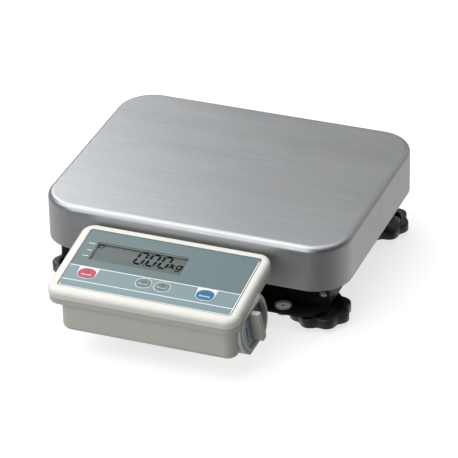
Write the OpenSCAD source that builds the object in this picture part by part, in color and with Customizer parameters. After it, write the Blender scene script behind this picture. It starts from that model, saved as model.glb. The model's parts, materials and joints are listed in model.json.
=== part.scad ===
// Bench scale: stainless weighing pan on a steel base with four levelling feet,
// and a wedge-shaped indicator held in front of the pan.
// Drawn in millimetres, floor at Z = 0, middle of the overall box on the Z axis.

/* [Platform] */
// width of the weighing pan, left to right
pan_w = 380; // [300:5:460]
// depth of the weighing pan, front to back
pan_d = 300; // [240:5:380]
// height of the pan top above the floor
pan_top = 118; // [114:1:130]
// height of the pan skirt
pan_skirt = 58; // [40:1:60]
// plan corner radius of the pan
pan_r = 45; // [30:1:60]
// rounding along the top edge of the pan
pan_fillet = 7; // [4:0.5:12]
// sheet thickness of the pan
pan_t = 1.5; // [1:0.1:3]

/* [Base] */
// width of the base box
base_w = 342; // [300:1:360]
// depth of the base box
base_d = 236; // [234:2:260]
// underside of the base floor above the ground
base_z = 23; // [22:1:24]
// thickness of the base sheet
base_t = 3; // [2:0.5:4]
// half width of the front shelf
shelf_x = 161; // [140:1:166]
// reach of the front shelf from the platform middle
shelf_y = 151; // [135:1:151]
// corner radius of the front shelf
shelf_r = 25; // [5:1:40]

/* [Feet] */
// distance of a foot from the middle, left to right
foot_x = 152; // [130:1:153]
// distance of a foot from the middle, front to back
foot_y = 108; // [90:1:109]
// knob radius between the lobes
knob_r = 33.5; // [26:0.5:34]
// number of lobes on a knob
knob_lobes = 8; // [6:1:10]
// thickness of a knob
knob_t = 12.6; // [8:0.2:13]
// radius of the levelling stud
stud_r = 5; // [4:0.5:6]

/* [Indicator] */
// width of the indicator cover
ind_w = 235.8; // [200:0.2:260]
// depth of the indicator cover along its slope
ind_d = 130; // [110:1:140]
// slope of the indicator face in degrees
ind_tilt = 8.5; // [4:0.5:15]
// sideways position of the indicator face
ind_x = -4.7; // [-20:0.1:20]
// corner radius of the indicator cover
ind_r = 16; // [8:1:24]
// display window width
lcd_w = 114; // [80:1:130]
// display window height
lcd_h = 33; // [20:1:40]
// radius of the battery door
door_r = 32.4; // [29:0.2:33]

/* [Hidden] */
$fn = 64;
face_y = -167;            // rear edge of the face sheet, from the platform middle
face_z = pan_top - 14.7;  // height of that edge
face_w = 214;             // face sheet width
face_d = 107;             // face sheet depth
rear_margin = 11;         // cover behind the face sheet
cov_f = 6;                // rounding along the top of the cover
cov_top = 0.8;            // cover top above the face sheet
cov_h = 11.8;             // height of the upper cover
rim_h = 7.7;              // height of the rim of the lower shell
front_reach = face_y + (-(ind_d - rear_margin - cov_f) * cos(ind_tilt)
    + (cov_f - cov_top) * sin(ind_tilt)) - cov_f;
row_y = -(front_reach + pan_d / 2) / 2;
base_top = base_z + base_t;
wall_top = 56;
skirt_z = pan_top - pan_skirt;
base_dx = -5;             // base box centre, from the platform middle
cov_dx = -0.7;            // cover centre to the right of the face centre
bay_y = -235;             // battery bay axis, from the platform middle
bay_z = pan_top - 60.2;   // battery bay axis height
door_at = [118, -234.3, 58.2];     // middle of the rim plane of the battery door
door_turn = [ind_tilt, -3.8, 84.4];  // roll, yaw and pitch of the door plane
latch_at = [10.5, -2];    // latch pin, in the door plane
body_z = 31.8;            // underside of the indicator body
body_l = -107;            // left side of the body
body_rt = 109.5;            // right side of the body
body_f = -280;            // front of the body
body_b = -192;            // back of the body
body_r = 13;              // plan corner radius of the body
body_edge = 7;              // rounding along the bottom of the body
keys = [[-81, 78, 21.2, 17.4], [-10.6, 77.5, 17.8, 15],
    [12.7, 78.4, 17.8, 15], [65.8, 78.6, 21.2, 17.4]];
cover_holes = [[-111.7, 2], [-111.7, 106], [96, -7.2], [30, -7.2]];
post_x = 135;
post_y = 88;
post_top = 109;
live_z = 90;
stop_x = 105;
stop_y = 70;
knob_z = 5.1;
cell_r = 13.1;
cell_l = 50;

// ---- shared shapes ----

// rounded rectangle in plan
module rrect(w, d, r) {
    square([w, d - 2 * r], center = true);
    square([w - 2 * r, d], center = true);
    for (sx = [-1, 1])
        for (sy = [-1, 1])
            translate([sx * (w / 2 - r), sy * (d / 2 - r)])
                circle(r);
}

// edge section: width r, height h, rounded f at the outer top
module edge2d(r, h, f) {
    square([r - f, h]);
    square([r, h - f]);
    translate([r - f, h - f])
        circle(f);
}

// block with plan radius r and top edges rounded f, resting on z = 0
module pillow(w, d, h, r, f) {
    translate([-w / 2 + r, -d / 2 + r, 0])
        cube([w - 2 * r, d - 2 * r, h]);
    for (q = [0:3]) {
        lx = q % 2 == 0 ? w / 2 - r : d / 2 - r;
        ly = q % 2 == 0 ? d / 2 - r : w / 2 - r;
        rotate([0, 0, q * 90]) {
            translate([lx, ly, 0])
                rotate_extrude(angle = 90)
                    edge2d_half(r, h, f);
            translate([lx, ly, 0])
                rotate([90, 0, 0])
                    linear_extrude(2 * ly)
                        edge2d_half(r, h, f);
        }
    }
}

module edge2d_half(r, h, f) {
    intersection() {
        edge2d(r, h, f);
        square([r, h]);
    }
}

// moves a piece from platform coordinates to the row frame
module plat() {
    translate([0, row_y, 0])
        children();
}

// moves a piece from face coordinates to the row frame
module face() {
    translate([ind_x, row_y + face_y, face_z])
        rotate([ind_tilt, 0, 0])
            children();
}

// hexagonal nut with a bore
module hex_nut(af, h, bore) {
    difference() {
        cylinder(r = af / sqrt(3), h = h, $fn = 6);
        translate([0, 0, -1])
            cylinder(r = bore, h = h + 2);
    }
}

// socket-head screw, head up, seat at z = 0
module cap_screw(r, l, hr, hh) {
    translate([0, 0, -l])
        cylinder(r = r, h = l);
    difference() {
        cylinder(r = hr, h = hh);
        translate([0, 0, hh / 2])
            cylinder(r = hr * 0.5, h = hh, $fn = 6);
    }
}

// cross-recess pan-head screw, head up, seat at z = 0
module pan_screw(r, l, hr, hh) {
    translate([0, 0, -l])
        cylinder(r = r, h = l);
    difference() {
        union() {
            cylinder(r = hr, h = hh * 0.4);
            translate([0, 0, hh * 0.4])
                cylinder(r1 = hr, r2 = hr * 0.6, h = hh * 0.6);
        }
        for (a = [0, 90])
            rotate([0, 0, a])
                translate([-hr * 0.45, -hr * 0.09, hh * 0.45])
                    cube([hr * 0.9, hr * 0.18, hh]);
    }
}

// ---- platform ----

module weighing_pan() {
    color("silver")
        plat()
            translate([0, 0, skirt_z])
                difference() {
                    pillow(pan_w, pan_d, pan_skirt, pan_r, pan_fillet);
                    translate([0, 0, -1])
                        pillow(pan_w - 2 * pan_t, pan_d - 2 * pan_t, pan_skirt - pan_t + 1,
                            pan_r - pan_t, pan_fillet - pan_t);
                }
}

module pan_pads() {
    color("dimgray")
        plat()
            for (sx = [-1, 1])
                for (sy = [-1, 1])
                    translate([sx * post_x, sy * post_y, post_top])
                        difference() {
                            cylinder(r = 13, h = pan_top - pan_t - post_top);
                            translate([0, 0, -1])
                                cylinder(r = 4, h = 4);
                        }
}

module live_frame() {
    color("black")
        plat()
            difference() {
                union() {
                    translate([0, 0, live_z])
                        linear_extrude(4)
                            rrect(300, 208, 14);
                    for (sx = [-1, 1])
                        for (sy = [-1, 1])
                            translate([sx * post_x, sy * post_y, live_z])
                                cylinder(r = 14, h = post_top - live_z);
                    for (sy = [-1, 1])
                        translate([-post_x, sy * post_y - 2, live_z])
                            cube([2 * post_x, 4, 14]);
                    for (sx = [-1, 1])
                        translate([sx * post_x - 2, -post_y, live_z])
                            cube([4, 2 * post_y, 14]);
                }
                for (x = [36, 54])
                    for (y = [-10, 10])
                        translate([x, y, live_z - 1])
                            cylinder(r = 3.5, h = 6);
            }
}

module load_cell() {
    color("lightgray")
        plat()
            difference() {
                translate([-65, -20, 52])
                    cube([130, 40, 30]);
                for (x = [-14, 14])
                    translate([x, 0, 67])
                        rotate([90, 0, 0])
                            cylinder(r = 11, h = 60, center = true);
                translate([-14, -30, 62])
                    cube([28, 60, 10]);
                for (x = [36, 54])
                    for (y = [-10, 10])
                        translate([x, y, 70])
                            cylinder(r = 3, h = 14);
                for (x = [-54, -36])
                    for (y = [-10, 10])
                        translate([x, y, 50])
                            cylinder(r = 3, h = 14);
            }
}

module load_cell_upper_spacer() {
    color("gray")
        plat()
            difference() {
                translate([26, -20, 82])
                    cube([39, 40, live_z - 82]);
                for (x = [36, 54])
                    for (y = [-10, 10])
                        translate([x, y, 80])
                            cylinder(r = 3.5, h = 12);
            }
}

module load_cell_lower_spacer() {
    color("gray")
        plat()
            difference() {
                translate([-65, -24, base_top])
                    cube([39, 48, 52 - base_top]);
                for (x = [-54, -36])
                    for (y = [-10, 10])
                        translate([x, y, base_top - 1])
                            cylinder(r = 3.5, h = 40);
            }
}

module load_cell_bolts() {
    color("silver")
        plat() {
            for (x = [36, 54])
                for (y = [-10, 10])
                    translate([x, y, live_z + 4])
                        cap_screw(3, 20, 5, 6);
            for (x = [-54, -36])
                for (y = [-10, 10])
                    translate([x, y, base_z])
                        rotate([180, 0, 0])
                            cap_screw(3, 36, 5, 4);
        }
}

module gauge_cover() {
    color("whitesmoke")
        plat()
            for (s = [-1, 1])
                translate([-22, s > 0 ? 20 : -22.4, 60])
                    cube([44, 2.4, 14]);
}

module overload_stops() {
    color("silver")
        plat()
            for (sx = [-1, 1])
                for (sy = [-1, 1])
                    translate([sx * stop_x, sy * stop_y, base_top]) {
                        cylinder(r = 8, h = 46, $fn = 6);
                        translate([0, 0, 46])
                            cylinder(r = 3, h = 16.6);
                    }
}

module overload_nuts() {
    color("silver")
        plat()
            for (sx = [-1, 1])
                for (sy = [-1, 1])
                    translate([sx * stop_x, sy * stop_y, base_top + 46])
                        hex_nut(10, 5, 3);
}

// ---- base ----

module base_plan() {
    translate([base_dx, 0])
        rrect(base_w, base_d, 4);
    translate([0, -(shelf_y + 60) / 2])
        rrect_front();
}

// front shelf outline with its two front corners rounded
module rrect_front() {
    depth = shelf_y - 60;
    translate([0, shelf_r / 2])
        square([2 * shelf_x, depth - shelf_r], center = true);
    translate([0, -depth / 2 + shelf_r / 2])
        square([2 * (shelf_x - shelf_r), shelf_r], center = true);
    for (s = [-1, 1])
        translate([s * (shelf_x - shelf_r), -depth / 2 + shelf_r])
            circle(shelf_r);
}

module base_frame() {
    color("black")
        plat()
            difference() {
                union() {
                    translate([0, 0, base_z])
                        linear_extrude(base_t)
                            base_plan();
                    translate([base_dx, 0, base_z])
                        linear_extrude(wall_top - base_z)
                            difference() {
                                rrect(base_w, base_d, 4);
                                square([base_w - 6, base_d - 6], center = true);
                            }
                    for (sy = [-1, 1])
                        translate([base_dx - base_w / 2 + 3, sy * 44 - 2, base_z])
                            cube([base_w - 6, 4, 18]);
                }
                for (sx = [-1, 1])
                    for (sy = [-1, 1])
                        translate([sx * foot_x, sy * foot_y, base_z - 1])
                            cylinder(r = stud_r + 0.6, h = base_t + 2);
                for (x = [-54, -36])
                    for (y = [-10, 10])
                        translate([x, y, base_z - 1])
                            cylinder(r = 3.5, h = 6);
                translate([116, -137, base_z - 1])
                    cylinder(r = 9, h = base_t + 2);
                for (sx = [-1, 1])
                    translate([ind_x + sx * 40, -139, base_z - 1])
                        cylinder(r = 2.5, h = base_t + 2);
                for (sx = [-1, 1])
                    for (sy = [-1, 1])
                        translate([sx * 159, sy * base_d / 2, 39])
                            rotate([90, 0, 0])
                                cylinder(r = 2.5, h = 12, center = true);
            }
}

module frame_screws() {
    color("silver")
        plat()
            for (sx = [-1, 1])
                for (sy = [-1, 1])
                    translate([sx * 159, sy * base_d / 2, 39])
                        rotate([-90 * sy, 0, 0])
                            pan_screw(2.5, 3, 4.6, 2.6);
}

module level_housing() {
    color("gray")
        plat()
            translate([116, -137, 0])
                difference() {
                    union() {
                        translate([0, 0, base_top])
                            cylinder(r = 10.2, h = 1.4);
                        translate([0, 0, base_top - 8])
                            cylinder(r = 8.9, h = 8.2);
                    }
                    translate([0, 0, base_top - 6])
                        cylinder(r = 8.2, h = 10);
                }
}

module level_bubble() {
    color("palegreen")
        plat()
            translate([116, -137, base_top - 6])
                cylinder(r = 8.2, h = 4.8);
}

module level_glass() {
    color("lightblue")
        plat()
            translate([116, -137, base_top - 1])
                cylinder(r = 8.2, h = 2.2);
}

// ---- feet ----

module foot_weld_nuts() {
    color("silver")
        plat()
            for (sx = [-1, 1])
                for (sy = [-1, 1])
                    translate([sx * foot_x, sy * foot_y, base_z - 3.5])
                        hex_nut(19, 3.5, stud_r + 0.05);
}

module foot_pad() {
    color("dimgray")
        difference() {
            union() {
                cylinder(r1 = 17, r2 = 16, h = 4.8);
                cylinder(r = 6, h = 8);
            }
            translate([0, 0, -0.5])
                cylinder(r = 9, h = 1.5);
        }
}

module knob_plan(r) {
    circle(r);
    for (i = [0:knob_lobes - 1])
        rotate([0, 0, (i + 0.5) * 360 / knob_lobes])
            translate([r - 4.7, 0])
                circle(8);
}

module foot_knob() {
    color("black")
        translate([0, 0, knob_z])
            difference() {
                union() {
                    linear_extrude(knob_t - 5)
                        knob_plan(knob_r);
                    linear_extrude(knob_t)
                        knob_plan(knob_r * 0.88);
                }
                translate([0, 0, knob_t - 4])
                    difference() {
                        cylinder(r = 25, h = 6);
                        translate([0, 0, -1])
                            cylinder(r = 11, h = 8);
                    }
                translate([0, 0, -1])
                    cylinder(r = 6.4, h = 4.5);
                translate([0, 0, 3])
                    cylinder(r = stud_r, h = knob_t);
            }
}

module foot_stud() {
    color("silver")
        translate([0, 0, knob_z + 3.5])
            cylinder(r = stud_r, h = 42);
}

module foot_pad_fr() { plat() translate([foot_x, -foot_y, 0]) foot_pad(); }
module foot_knob_fr() { plat() translate([foot_x, -foot_y, 0]) foot_knob(); }
module foot_stud_fr() { plat() translate([foot_x, -foot_y, 0]) foot_stud(); }
module foot_pad_fl() { plat() translate([-foot_x, -foot_y, 0]) foot_pad(); }
module foot_knob_fl() { plat() translate([-foot_x, -foot_y, 0]) foot_knob(); }
module foot_stud_fl() { plat() translate([-foot_x, -foot_y, 0]) foot_stud(); }
module foot_pad_rr() { plat() translate([foot_x, foot_y, 0]) foot_pad(); }
module foot_knob_rr() { plat() translate([foot_x, foot_y, 0]) foot_knob(); }
module foot_stud_rr() { plat() translate([foot_x, foot_y, 0]) foot_stud(); }
module foot_pad_rl() { plat() translate([-foot_x, foot_y, 0]) foot_pad(); }
module foot_knob_rl() { plat() translate([-foot_x, foot_y, 0]) foot_knob(); }
module foot_stud_rl() { plat() translate([-foot_x, foot_y, 0]) foot_stud(); }

// ---- indicator housing ----

module indicator_bracket() {
    color("black")
        plat()
            difference() {
                translate([ind_x - 55, 0, 0])
                    rotate([90, 0, 90])
                        linear_extrude(110)
                            polygon([[-128, base_top], [-152, base_top], [-158, 28.8],
                                [-250, 28.8], [-250, 31.8], [-156, 31.8],
                                [-150, 29], [-128, 29]]);
                for (sx = [-1, 1])
                    translate([ind_x + sx * 40, -139, base_top - 1])
                        cylinder(r = 2.5, h = 6);
                for (sx = [-1, 1])
                    for (y = [-210, -240])
                        translate([ind_x + sx * 40, y, 28])
                            cylinder(r = 2.5, h = 6);
            }
}

module bracket_screws() {
    color("silver")
        plat() {
            for (sx = [-1, 1])
                translate([ind_x + sx * 40, -139, 29])
                    pan_screw(2.5, 6, 4.6, 2.6);
            for (sx = [-1, 1])
                for (y = [-210, -240])
                    translate([ind_x + sx * 40, y, 28.8])
                        rotate([180, 0, 0])
                            pan_screw(2.5, 6, 4.6, 2.6);
        }
}

// everything above the seam plane of the indicator, lowered by gap
module above_seam(gap) {
    face()
        translate([-200, -200, cov_top - cov_h + gap])
            cube([400, 300, 200]);
}

// outline of the cover in face coordinates
module cover_outline(inset) {
    translate([cov_dx, rear_margin - ind_d / 2])
        rrect(ind_w - 2 * inset, ind_d - 2 * inset, ind_r - inset);
}

// body of the lower shell, its bottom edges rounded, drawn in by inset
module body_block(inset) {
    plat()
        translate([(body_l + body_rt) / 2, (body_f + body_b) / 2, body_z + inset + 90])
            mirror([0, 0, 1])
                pillow(body_rt - body_l - 2 * inset, body_b - body_f - 2 * inset, 90,
                    body_r - inset, body_edge - inset);
}

// moves a piece to the battery bay axis, its z along the length from x
module bay_at(x) {
    plat()
        translate([x, bay_y, bay_z])
            rotate([0, 90, 0])
                children();
}

// battery door plane: x down, y to the back, z outward
module door() {
    plat()
        translate(door_at)
            rotate([door_turn[0], 0, 0])
                rotate([0, 0, door_turn[1]])
                    rotate([0, door_turn[2], 0])
                        children();
}

// round door with a flat above and a flat below, drawn in by inset
module door_outline(inset) {
    intersection() {
        circle(door_r - inset);
        translate([-23.2 + inset, -50])
            square([49.2 - 2 * inset, 100]);
    }
}

// well in the door face, drawn in by inset
module door_well(inset) {
    intersection() {
        circle(28.5 - inset);
        translate([-20.1 + inset, -50])
            square([43.3 - 2 * inset, 100]);
    }
}

// raised seat round the battery door, from depth a to depth b
module door_seat(a, b) {
    difference() {
        door()
            translate([0, 0, -a])
                linear_extrude(a - b)
                    door_outline(-3.2);
        above_seam(0);
    }
}

module lower_shell() {
    color("ivory")
        difference() {
            union() {
                difference() {
                    union() {
                        difference() {
                            body_block(0);
                            above_seam(0);
                        }
                        face()
                            translate([0, 0, cov_top - cov_h - rim_h])
                                linear_extrude(rim_h)
                                    cover_outline(0.4);
                        door_seat(15, 2);
                    }
                    body_block(2.5);
                }
                door_seat(10.5, 2);
            }
            face()
                translate([0, -12.25, -16.5])
                    linear_extrude(7)
                        rrect(208, 27.5, 4);
            door() {
                translate([0, 0, -7.7])
                    linear_extrude(30)
                        door_outline(-0.35);
                translate([0, 0, -26])
                    linear_extrude(30)
                        rrect(32, 58, 8);
            }
            for (sx = [-1, 1])
                for (y = [-210, -240])
                    plat()
                        translate([ind_x + sx * 40, y, 28])
                            cylinder(r = 2.5, h = 7);
            for (q = cover_holes)
                face()
                    translate([q[0], -q[1], -20])
                        cylinder(r = 1.3, h = 20);
            plat()
                translate([-72, body_b, 62])
                    cube([12.4, 20, 11.4], center = true);
        }
}

module cover_gasket() {
    color("black")
        face()
            translate([0, 0, cov_top - cov_h])
                linear_extrude(0.6)
                    difference() {
                        cover_outline(1);
                        cover_outline(2.4);
                    }
}

module upper_cover() {
    color("ivory")
        face()
            difference() {
                union() {
                    difference() {
                        translate([cov_dx, rear_margin - ind_d / 2, cov_top - cov_h])
                            pillow(ind_w, ind_d, cov_h, ind_r, cov_f);
                        translate([0, 0, cov_top - cov_h - 1])
                            linear_extrude(cov_h + 1 - 3.3)
                                cover_outline(5);
                        translate([0, 0, cov_top - cov_h - 1])
                            linear_extrude(1.6)
                                cover_outline(-2);
                    }
                    for (sx = [-1, 1])
                        for (v = [10, 94])
                            translate([sx * 95, -v, -8])
                                cylinder(r = 4, h = 6);
                    for (q = cover_holes)
                        translate([q[0], -q[1], -10.4])
                            cylinder(r = 2.7, h = 8.4);
                }
                translate([0, -face_d / 2, -0.5])
                    linear_extrude(3)
                        rrect(face_w + 0.6, face_d + 0.6, 4);
                translate([-32.3, -36.8, -1.7])
                    linear_extrude(3)
                        rrect(lcd_w + 5, lcd_h + 5, 2);
                translate([-32.3, -36.8, -5])
                    linear_extrude(6)
                        rrect(lcd_w - 1, lcd_h - 1, 1);
                for (k = keys)
                    translate([k[0], -k[1], -5])
                        linear_extrude(6)
                            rrect(k[2] + 0.6, k[3] + 0.6, k[3] * 0.48);
                for (sx = [-1, 1])
                    for (v = [10, 94])
                        translate([sx * 95, -v, -9])
                            cylinder(r = 1.3, h = 6);
                for (q = cover_holes)
                    translate([q[0], -q[1], -12])
                        cylinder(r = 1.2, h = 8);
            }
}

module face_sheet() {
    color("steelblue")
        face()
            translate([0, 0, -0.5])
                linear_extrude(0.5)
                    difference() {
                        translate([0, -face_d / 2])
                            rrect(face_w, face_d, 4);
                        translate([-32.3, -36.8])
                            rrect(lcd_w, lcd_h, 0.8);
                        for (k = keys)
                            translate([k[0], -k[1]])
                                rrect(k[2] + 0.6, k[3] + 0.6, k[3] * 0.48);
                    }
}

module display_lens() {
    color("lightgray")
        face()
            translate([-32.3, -36.8, -1.7])
                linear_extrude(1.2)
                    rrect(lcd_w + 4.6, lcd_h + 4.6, 1.8);
}

module lcd_panel() {
    color("gray")
        face()
            translate([-32.3, -36.8, -6.4])
                linear_extrude(3.8)
                    rrect(lcd_w + 8, lcd_h + 9, 1);
}

module main_board() {
    color("darkgreen")
        face()
            translate([0, -52, -9.6])
                difference() {
                    linear_extrude(1.6)
                        rrect(208, 94, 2);
                    for (sx = [-1, 1])
                        for (v = [-42, 42])
                            translate([sx * 95, v, -1])
                                cylinder(r = 1.6, h = 4);
                }
}

module board_parts() {
    color("dimgray")
        face() {
            for (k = keys)
                translate([k[0] - 3, -k[1] - 3, -8])
                    cube([6, 6, 2.6]);
            translate([-50, -54, -12])
                cube([20, 14, 2.4]);
            translate([0, -54, -11.8])
                cube([10, 8, 2.2]);
            translate([44, -44, -14.6])
                cube([22, 12, 5]);
            for (i = [0:3])
                translate([80, -36 - 12 * i, -15.6])
                    cylinder(r = 4, h = 6);
        }
}

module board_screws() {
    color("silver")
        face()
            for (sx = [-1, 1])
                for (v = [10, 94])
                    translate([sx * 95, -v, -9.6])
                        rotate([180, 0, 0])
                            pan_screw(1.3, 6, 2.8, 1.8);
}

module key_cap(i) {
    w = keys[i][2];
    d = keys[i][3];
    face()
        translate([keys[i][0], -keys[i][1], 0]) {
            translate([0, 0, -3.3])
                linear_extrude(3.6)
                    rrect(w, d, d * 0.47);
            translate([0, 0, -4.3])
                linear_extrude(1)
                    rrect(w + 3, d + 3, d * 0.47);
        }
}

module key_power() { color("crimson") key_cap(0); }
module key_mode() { color("slategray") key_cap(1); }
module key_print() { color("slategray") key_cap(2); }
module key_zero() { color("royalblue") key_cap(3); }

module cover_screws() {
    color("silver")
        face()
            for (q = cover_holes)
                translate([q[0], -q[1], cov_top - cov_h - rim_h])
                    rotate([180, 0, 0])
                        pan_screw(1.2, 14, 2.1, 1.6);
}

// ---- battery compartment ----

module battery_tray() {
    color("dimgray")
        bay_at(-51)
            difference() {
                linear_extrude(153.3)
                    rrect(30.6, 57, 7.6);
                translate([0, 0, 2])
                    linear_extrude(170)
                        rrect(27.4, 53.8, 6);
                translate([-26, -22, 20])
                    cube([20, 44, 126]);
            }
}

module battery_cells() {
    color("goldenrod")
        for (s = [-1, 1])
            for (i = [0:2])
                bay_at(-45.5 + i * cell_l) {
                    translate([0, s * 13.2, 0])
                        cylinder(r = cell_r, h = cell_l - 2.3);
                    translate([0, s * 13.2, 0])
                        cylinder(r = 3, h = cell_l - 0.6);
                }
}

module battery_contacts() {
    color("silver")
        for (s = [-1, 1])
            bay_at(-49)
                translate([0, s * 13.2, 0]) {
                    translate([-8, -8, 0])
                        cube([16, 16, 0.6]);
                    cylinder(r1 = 6, r2 = 3, h = 3.4);
                }
}

module cap_seal() {
    color("black")
        door()
            translate([0, 0, -7.65])
                linear_extrude(0.65)
                    difference() {
                        door_outline(0.9);
                        rrect(34, 59.6, 12);
                    }
}

module battery_cap() {
    color("gainsboro")
        door()
            difference() {
                union() {
                    translate([0, 0, -7])
                        linear_extrude(7)
                            door_outline(0);
                    translate([0, 0, -9.6])
                        linear_extrude(3)
                            rrect(26, 50, 6);
                }
                translate([0, 0, -5.2])
                    linear_extrude(10)
                        door_well(0);
                translate([latch_at[0], latch_at[1], -8.8])
                    cylinder(r = 2.26, h = 10);
            }
}

module cap_contact() {
    color("silver")
        door()
            translate([0, 0, -10.4])
                difference() {
                    cylinder(r = 12, h = 0.8);
                    translate([0, 0, -1])
                        cylinder(r = 7, h = 3);
                }
}

// part of the door well behind the latch, drawn in by inset
module guide_plan(inset) {
    intersection() {
        door_well(1.3 + inset);
        translate([-13.7 + inset, -3 + inset])
            square([33 - 2 * inset, 40]);
    }
}

module cap_disc() {
    color("slategray")
        door()
            translate([0, 0, -5.2])
                linear_extrude(0.5)
                    difference() {
                        door_well(0.3);
                        guide_plan(0);
                        translate(latch_at)
                            circle(3.2);
                    }
}

module latch_guide() {
    color("black")
        door()
            translate([0, 0, -5.2])
                linear_extrude(0.6)
                    difference() {
                        guide_plan(0.3);
                        translate(latch_at)
                            circle(3);
                    }
}

module cap_latch() {
    color("gainsboro")
        door() {
            translate([0, 0, -4.4])
                linear_extrude(14.4)
                    polygon([[-19.4, -6.5], [18, -6.5], [18, -0.2], [15, 2.6],
                        [8, 1.2], [-19.4, 0.3]]);
            translate([latch_at[0], latch_at[1], -8.4])
                cylinder(r = 2.2, h = 6);
        }
}

module dc_inlet() {
    color("black")
        plat()
            translate([-72, body_b, 62])
                difference() {
                    translate([-6, -11, -5.5])
                        cube([12, 12, 11]);
                    rotate([90, 0, 0])
                        translate([0, 0, -2])
                            difference() {
                                cylinder(r = 3.2, h = 10);
                                cylinder(r = 1.1, h = 20);
                            }
                }
}

weighing_pan();
pan_pads();
live_frame();
load_cell();
load_cell_upper_spacer();
load_cell_lower_spacer();
load_cell_bolts();
gauge_cover();
overload_stops();
overload_nuts();
base_frame();
frame_screws();
level_housing();
level_bubble();
level_glass();
foot_weld_nuts();
foot_pad_fr();
foot_knob_fr();
foot_stud_fr();
foot_pad_fl();
foot_knob_fl();
foot_stud_fl();
foot_pad_rr();
foot_knob_rr();
foot_stud_rr();
foot_pad_rl();
foot_knob_rl();
foot_stud_rl();
indicator_bracket();
bracket_screws();
lower_shell();
cover_gasket();
upper_cover();
face_sheet();
display_lens();
lcd_panel();
main_board();
board_parts();
board_screws();
key_power();
key_mode();
key_print();
key_zero();
cover_screws();
battery_tray();
battery_cells();
battery_contacts();
cap_seal();
battery_cap();
cap_contact();
cap_disc();
latch_guide();
cap_latch();
dc_inlet();
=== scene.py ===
"""Looks for the bench scale: materials, printed face, display, keys, feet, hem, level, light, camera."""

import json
import math

import bmesh
import bpy
from mathutils import Matrix, Vector


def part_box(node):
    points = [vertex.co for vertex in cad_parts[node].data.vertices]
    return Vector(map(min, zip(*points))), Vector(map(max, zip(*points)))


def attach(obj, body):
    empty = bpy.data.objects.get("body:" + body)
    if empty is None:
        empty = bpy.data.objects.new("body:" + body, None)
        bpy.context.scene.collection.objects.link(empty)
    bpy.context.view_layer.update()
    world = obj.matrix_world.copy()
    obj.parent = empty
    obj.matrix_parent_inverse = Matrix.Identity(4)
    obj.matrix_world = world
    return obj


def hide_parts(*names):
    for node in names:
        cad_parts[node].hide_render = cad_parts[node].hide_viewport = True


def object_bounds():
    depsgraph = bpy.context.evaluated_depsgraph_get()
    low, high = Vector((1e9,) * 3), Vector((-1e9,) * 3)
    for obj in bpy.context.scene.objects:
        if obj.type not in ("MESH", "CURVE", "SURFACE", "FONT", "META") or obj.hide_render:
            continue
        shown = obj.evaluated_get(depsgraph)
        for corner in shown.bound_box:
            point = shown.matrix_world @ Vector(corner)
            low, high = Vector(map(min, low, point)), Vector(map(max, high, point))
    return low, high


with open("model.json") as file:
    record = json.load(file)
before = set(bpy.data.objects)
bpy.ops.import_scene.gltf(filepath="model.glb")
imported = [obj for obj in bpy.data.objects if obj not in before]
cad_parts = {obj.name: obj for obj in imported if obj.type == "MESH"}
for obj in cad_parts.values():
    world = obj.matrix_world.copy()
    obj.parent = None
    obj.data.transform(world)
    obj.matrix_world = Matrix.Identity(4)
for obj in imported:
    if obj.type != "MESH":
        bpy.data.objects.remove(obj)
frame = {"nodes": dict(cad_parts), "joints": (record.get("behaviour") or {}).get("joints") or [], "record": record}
NODES = frame["nodes"]
RECORD = frame["record"]
CAD_BOX = [list(c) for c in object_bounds()]
MM = 0.001

# ---------------------------------------------------------------- places taken from the CAD

PAN_LO, PAN_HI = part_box("weighing_pan")
PAN_MID = (PAN_LO + PAN_HI) / 2
FACE_LO, FACE_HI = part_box("face_sheet")
JOINTS = {j["name"]: j for j in frame["joints"]}
PRESS = Vector(JOINTS["press_power"]["axis"])
TILT = math.atan2(PRESS.y, -PRESS.z)
SHEET_T = 0.5 * MM
# origin: middle of the face sheet's rear top edge; +X right, +Y towards the pan, +Z out of the face
FACE = Matrix.Translation(
    ((FACE_LO.x + FACE_HI.x) / 2, FACE_HI.y - SHEET_T * math.sin(TILT), FACE_HI.z)
) @ Matrix.Rotation(TILT, 4, "X")
# origin: middle of the battery door's rim plane; +X down the door, +Y to the back, +Z out of the door
door_out = Vector(JOINTS["cap_pull"]["axis"]).normalized()
door_down = Matrix.Rotation(TILT, 3, "X") @ Vector((0, 0, -1))
door_down = (door_down - door_out * door_down.dot(door_out)).normalized()
door_back = door_out.cross(door_down)
# the lever's pin in the plane of the door, in millimetres
LATCH_AT = (10.5, -2.0)
DOOR = Matrix((door_down, door_back, door_out)).transposed().to_4x4()
DOOR.translation = (Vector(JOINTS["latch_swing"]["pos_m"]) - door_down * LATCH_AT[0] * MM
                    - door_back * LATCH_AT[1] * MM)

# ---------------------------------------------------------------- node materials


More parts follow.
